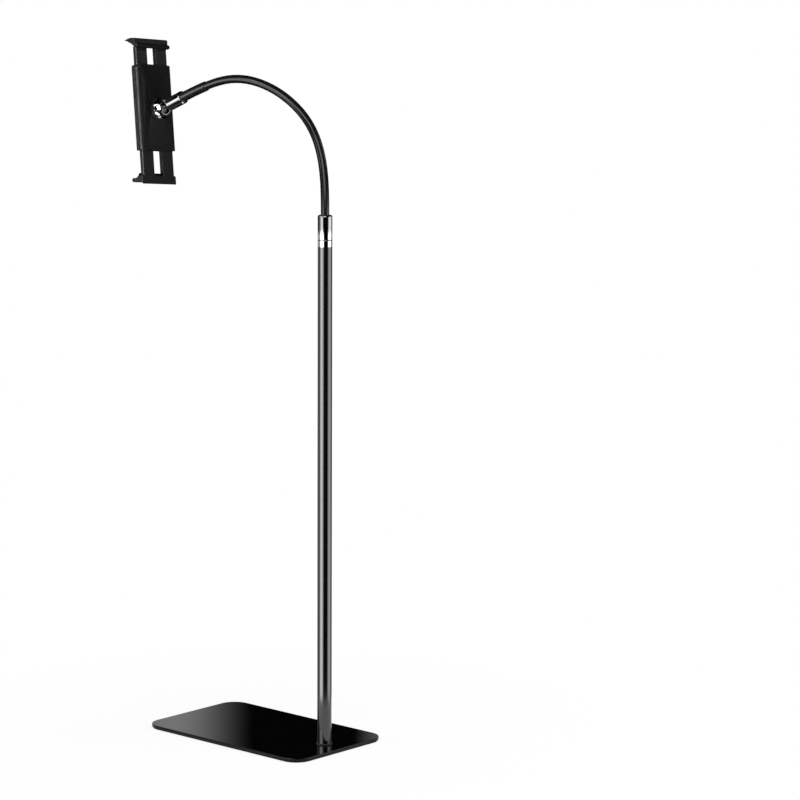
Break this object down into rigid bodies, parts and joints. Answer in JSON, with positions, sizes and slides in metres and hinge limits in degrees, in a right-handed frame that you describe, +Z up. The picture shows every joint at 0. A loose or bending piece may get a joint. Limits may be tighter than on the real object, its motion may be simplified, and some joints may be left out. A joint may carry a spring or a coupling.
{
  "type": "tablet floor stand",
  "caption": "Floor stand for a tablet: flat weighted base, slim pole near one end, bendable neck and a ball-jointed clamp with sliding jaws.",
  "frame": {"origin": "centre of the base's underside, on the floor", "axes": "+Z up along the pole; +X from the middle of the base to the end where the pole stands; the neck reaches towards -X"},
  "size_m": [0.4409, 0.2, 1.0707],
  "materials": {
    "black_enamel": "gloss black enamel",
    "black_tube": "gloss black lacquer",
    "pad_foam": "fine cellular foam",
    "foot_rubber": "matte",
    "inner_steel": "zinc plated",
    "bright_chrome": "polished chrome",
    "neck_cover": "satin black",
    "neck_core": "bright drawn",
    "end_cover": "satin black",
    "dark_ball": "blackened, polished",
    "ball_seat": "natural acetal",
    "clamp_black": "fine moulded grain",
    "jaw_black": "fine moulded grain",
    "grip_rubber": "soft matte",
    "spring_steel": "plain"
  },
  "bodies": {
    "stand": {"base_plate": "black_enamel", "base_pad": "pad_foam", "base_screw": "inner_steel", "foot_gasket": "foot_rubber", "foot_plug": "inner_steel", "pole_lower": "black_tube", "pole_coupler": "inner_steel", "pole_upper": "black_tube", "pole_top_plug": "inner_steel", "ferrule_ring": "bright_chrome"},
    "neck_1": {"lower_ferrule": "bright_chrome", "neck_sleeve_1": "neck_cover", "neck_core_1": "neck_core"},
    "neck_2": {"neck_sleeve_2": "neck_cover", "neck_core_2": "neck_core"},
    "neck_3": {"neck_sleeve_3": "neck_cover", "neck_core_3": "neck_core"},
    "neck_4": {"neck_sleeve_4": "neck_cover", "neck_core_4": "neck_core"},
    "neck_5": {"neck_sleeve_5": "neck_cover", "neck_core_5": "neck_core"},
    "neck_6": {"neck_sleeve_6": "neck_cover", "neck_core_6": "neck_core"},
    "neck_7": {"neck_sleeve_7": "neck_cover", "neck_core_7": "neck_core"},
    "neck_8": {"neck_sleeve_8": "neck_cover", "neck_core_8": "neck_core"},
    "neck_9": {"neck_sleeve_9": "neck_cover", "neck_core_9": "neck_core"},
    "neck_10": {"neck_sleeve_10": "neck_cover", "neck_core_10": "neck_core"},
    "neck_11": {"neck_sleeve_11": "neck_cover", "neck_core_11": "neck_core"},
    "neck_12": {"neck_sleeve_12": "neck_cover", "neck_core_12": "neck_core", "neck_end_sleeve": "end_cover", "upper_ferrule": "bright_chrome", "ball_stud": "dark_ball"},
    "tilt_seat": {"inner_ball_seat": "ball_seat"},
    "pan_seat": {"outer_ball_seat": "ball_seat"},
    "clamp": {"ball_socket": "clamp_black", "clamp_back_shell": "clamp_black", "clamp_front_cover": "clamp_black", "cover_screws": "inner_steel", "brake_rings": "spring_steel", "front_pad": "pad_foam"},
    "lock_nut": {"lock_nut": "bright_chrome"},
    "upper_jaw": {"upper_jaw": "jaw_black", "upper_jaw_lining": "grip_rubber"},
    "lower_jaw": {"lower_jaw": "jaw_black", "lower_jaw_lining": "grip_rubber"}
  },
  "joints": [
    {"name": "neck_swivel", "type": "hinge", "parent": "stand", "child": "neck_1", "pos_m": [0.1275, 0, 0.8188], "axis": [0, 0, 1], "range_deg": [-175, 175]},
    {"name": "neck_bend_1", "type": "hinge", "parent": "neck_1", "child": "neck_2", "pos_m": [0.12691, 0, 0.85279], "axis": [0, -1, 0], "range_deg": [-4.51, 1.58]},
    {"name": "neck_bend_2", "type": "hinge", "parent": "neck_2", "child": "neck_3", "pos_m": [0.12365, 0, 0.88662], "axis": [0, -1, 0], "range_deg": [-9.51, 3.33]},
    {"name": "neck_bend_3", "type": "hinge", "parent": "neck_3", "child": "neck_4", "pos_m": [0.11487, 0, 0.9194], "axis": [0, -1, 0], "range_deg": [-14.51, 5.08]},
    {"name": "neck_bend_4", "type": "hinge", "parent": "neck_4", "child": "neck_5", "pos_m": [0.09818, 0, 0.94888], "axis": [0, -1, 0], "range_deg": [-16, 5.6]},
    {"name": "neck_bend_5", "type": "hinge", "parent": "neck_5", "child": "neck_6", "pos_m": [0.074, 0, 0.97264], "axis": [0, -1, 0], "range_deg": [-12.51, 4.38]},
    {"name": "neck_bend_6", "type": "hinge", "parent": "neck_6", "child": "neck_7", "pos_m": [0.04521, 0, 0.99064], "axis": [0, -1, 0], "range_deg": [-9.51, 9.51]},
    {"name": "neck_bend_7", "type": "hinge", "parent": "neck_7", "child": "neck_8", "pos_m": [0.01383, 0, 1.00364], "axis": [0, -1, 0], "range_deg": [-9.01, 9.01]},
    {"name": "neck_bend_8", "type": "hinge", "parent": "neck_8", "child": "neck_9", "pos_m": [-0.0192, 0, 1.01157], "axis": [0, -1, 0], "range_deg": [-9.51, 9.51]},
    {"name": "neck_bend_9", "type": "hinge", "parent": "neck_9", "child": "neck_10", "pos_m": [-0.05307, 0, 1.01393], "axis": [0, -1, 0], "range_deg": [-10.35, 10.35]},
    {"name": "neck_bend_10", "type": "hinge", "parent": "neck_10", "child": "neck_11", "pos_m": [-0.08682, 0, 1.01018], "axis": [0, -1, 0], "range_deg": [-8.86, 8.86]},
    {"name": "neck_bend_11", "type": "hinge", "parent": "neck_11", "child": "neck_12", "pos_m": [-0.11961, 0, 1.00127], "axis": [0, -1, 0], "range_deg": [-5.51, 5.51]},
    {"name": "clamp_tilt", "type": "hinge", "parent": "neck_12", "child": "tilt_seat", "pos_m": [-0.21812, 0, 0.96222], "axis": [0, -1, 0], "range_deg": [-14, 38]},
    {"name": "clamp_pan", "type": "hinge", "parent": "tilt_seat", "child": "pan_seat", "pos_m": [-0.21812, 0, 0.96222], "axis": [-0.173, 0.0872, 0.9811], "range_deg": [-22, 22]},
    {"name": "clamp_spin", "type": "hinge", "parent": "pan_seat", "child": "clamp", "pos_m": [-0.21812, 0, 0.96222], "axis": [0.9848, 0, 0.1736], "continuous": true},
    {"name": "nut_turn", "type": "hinge", "parent": "clamp", "child": "lock_nut", "pos_m": [-0.21812, 0, 0.96222], "axis": [0.9848, 0, 0.1736], "range_deg": [0, 270]},
    {"name": "upper_jaw_slide", "type": "slide", "parent": "clamp", "child": "upper_jaw", "axis": [-0.173, 0.0872, 0.9811], "range_m": [-0.021, 0.017]},
    {"name": "lower_jaw_slide", "type": "slide", "parent": "clamp", "child": "lower_jaw", "axis": [0.173, -0.0872, -0.9811], "range_m": [-0.0345, 0.0055]}
  ],
  "couplings": [
    {"joint": "neck_bend_1", "follows": "neck_bend_4", "ratio": 0.28125},
    {"joint": "neck_bend_2", "follows": "neck_bend_4", "ratio": 0.59375},
    {"joint": "neck_bend_3", "follows": "neck_bend_4", "ratio": 0.90625},
    {"joint": "neck_bend_5", "follows": "neck_bend_4", "ratio": 0.78125},
    {"joint": "neck_bend_6", "follows": "neck_bend_9", "ratio": 0.91787},
    {"joint": "neck_bend_7", "follows": "neck_bend_9", "ratio": 0.86957},
    {"joint": "neck_bend_8", "follows": "neck_bend_9", "ratio": 0.91787},
    {"joint": "neck_bend_10", "follows": "neck_bend_9", "ratio": 0.85507},
    {"joint": "neck_bend_11", "follows": "neck_bend_9", "ratio": 0.5314}
  ]
}
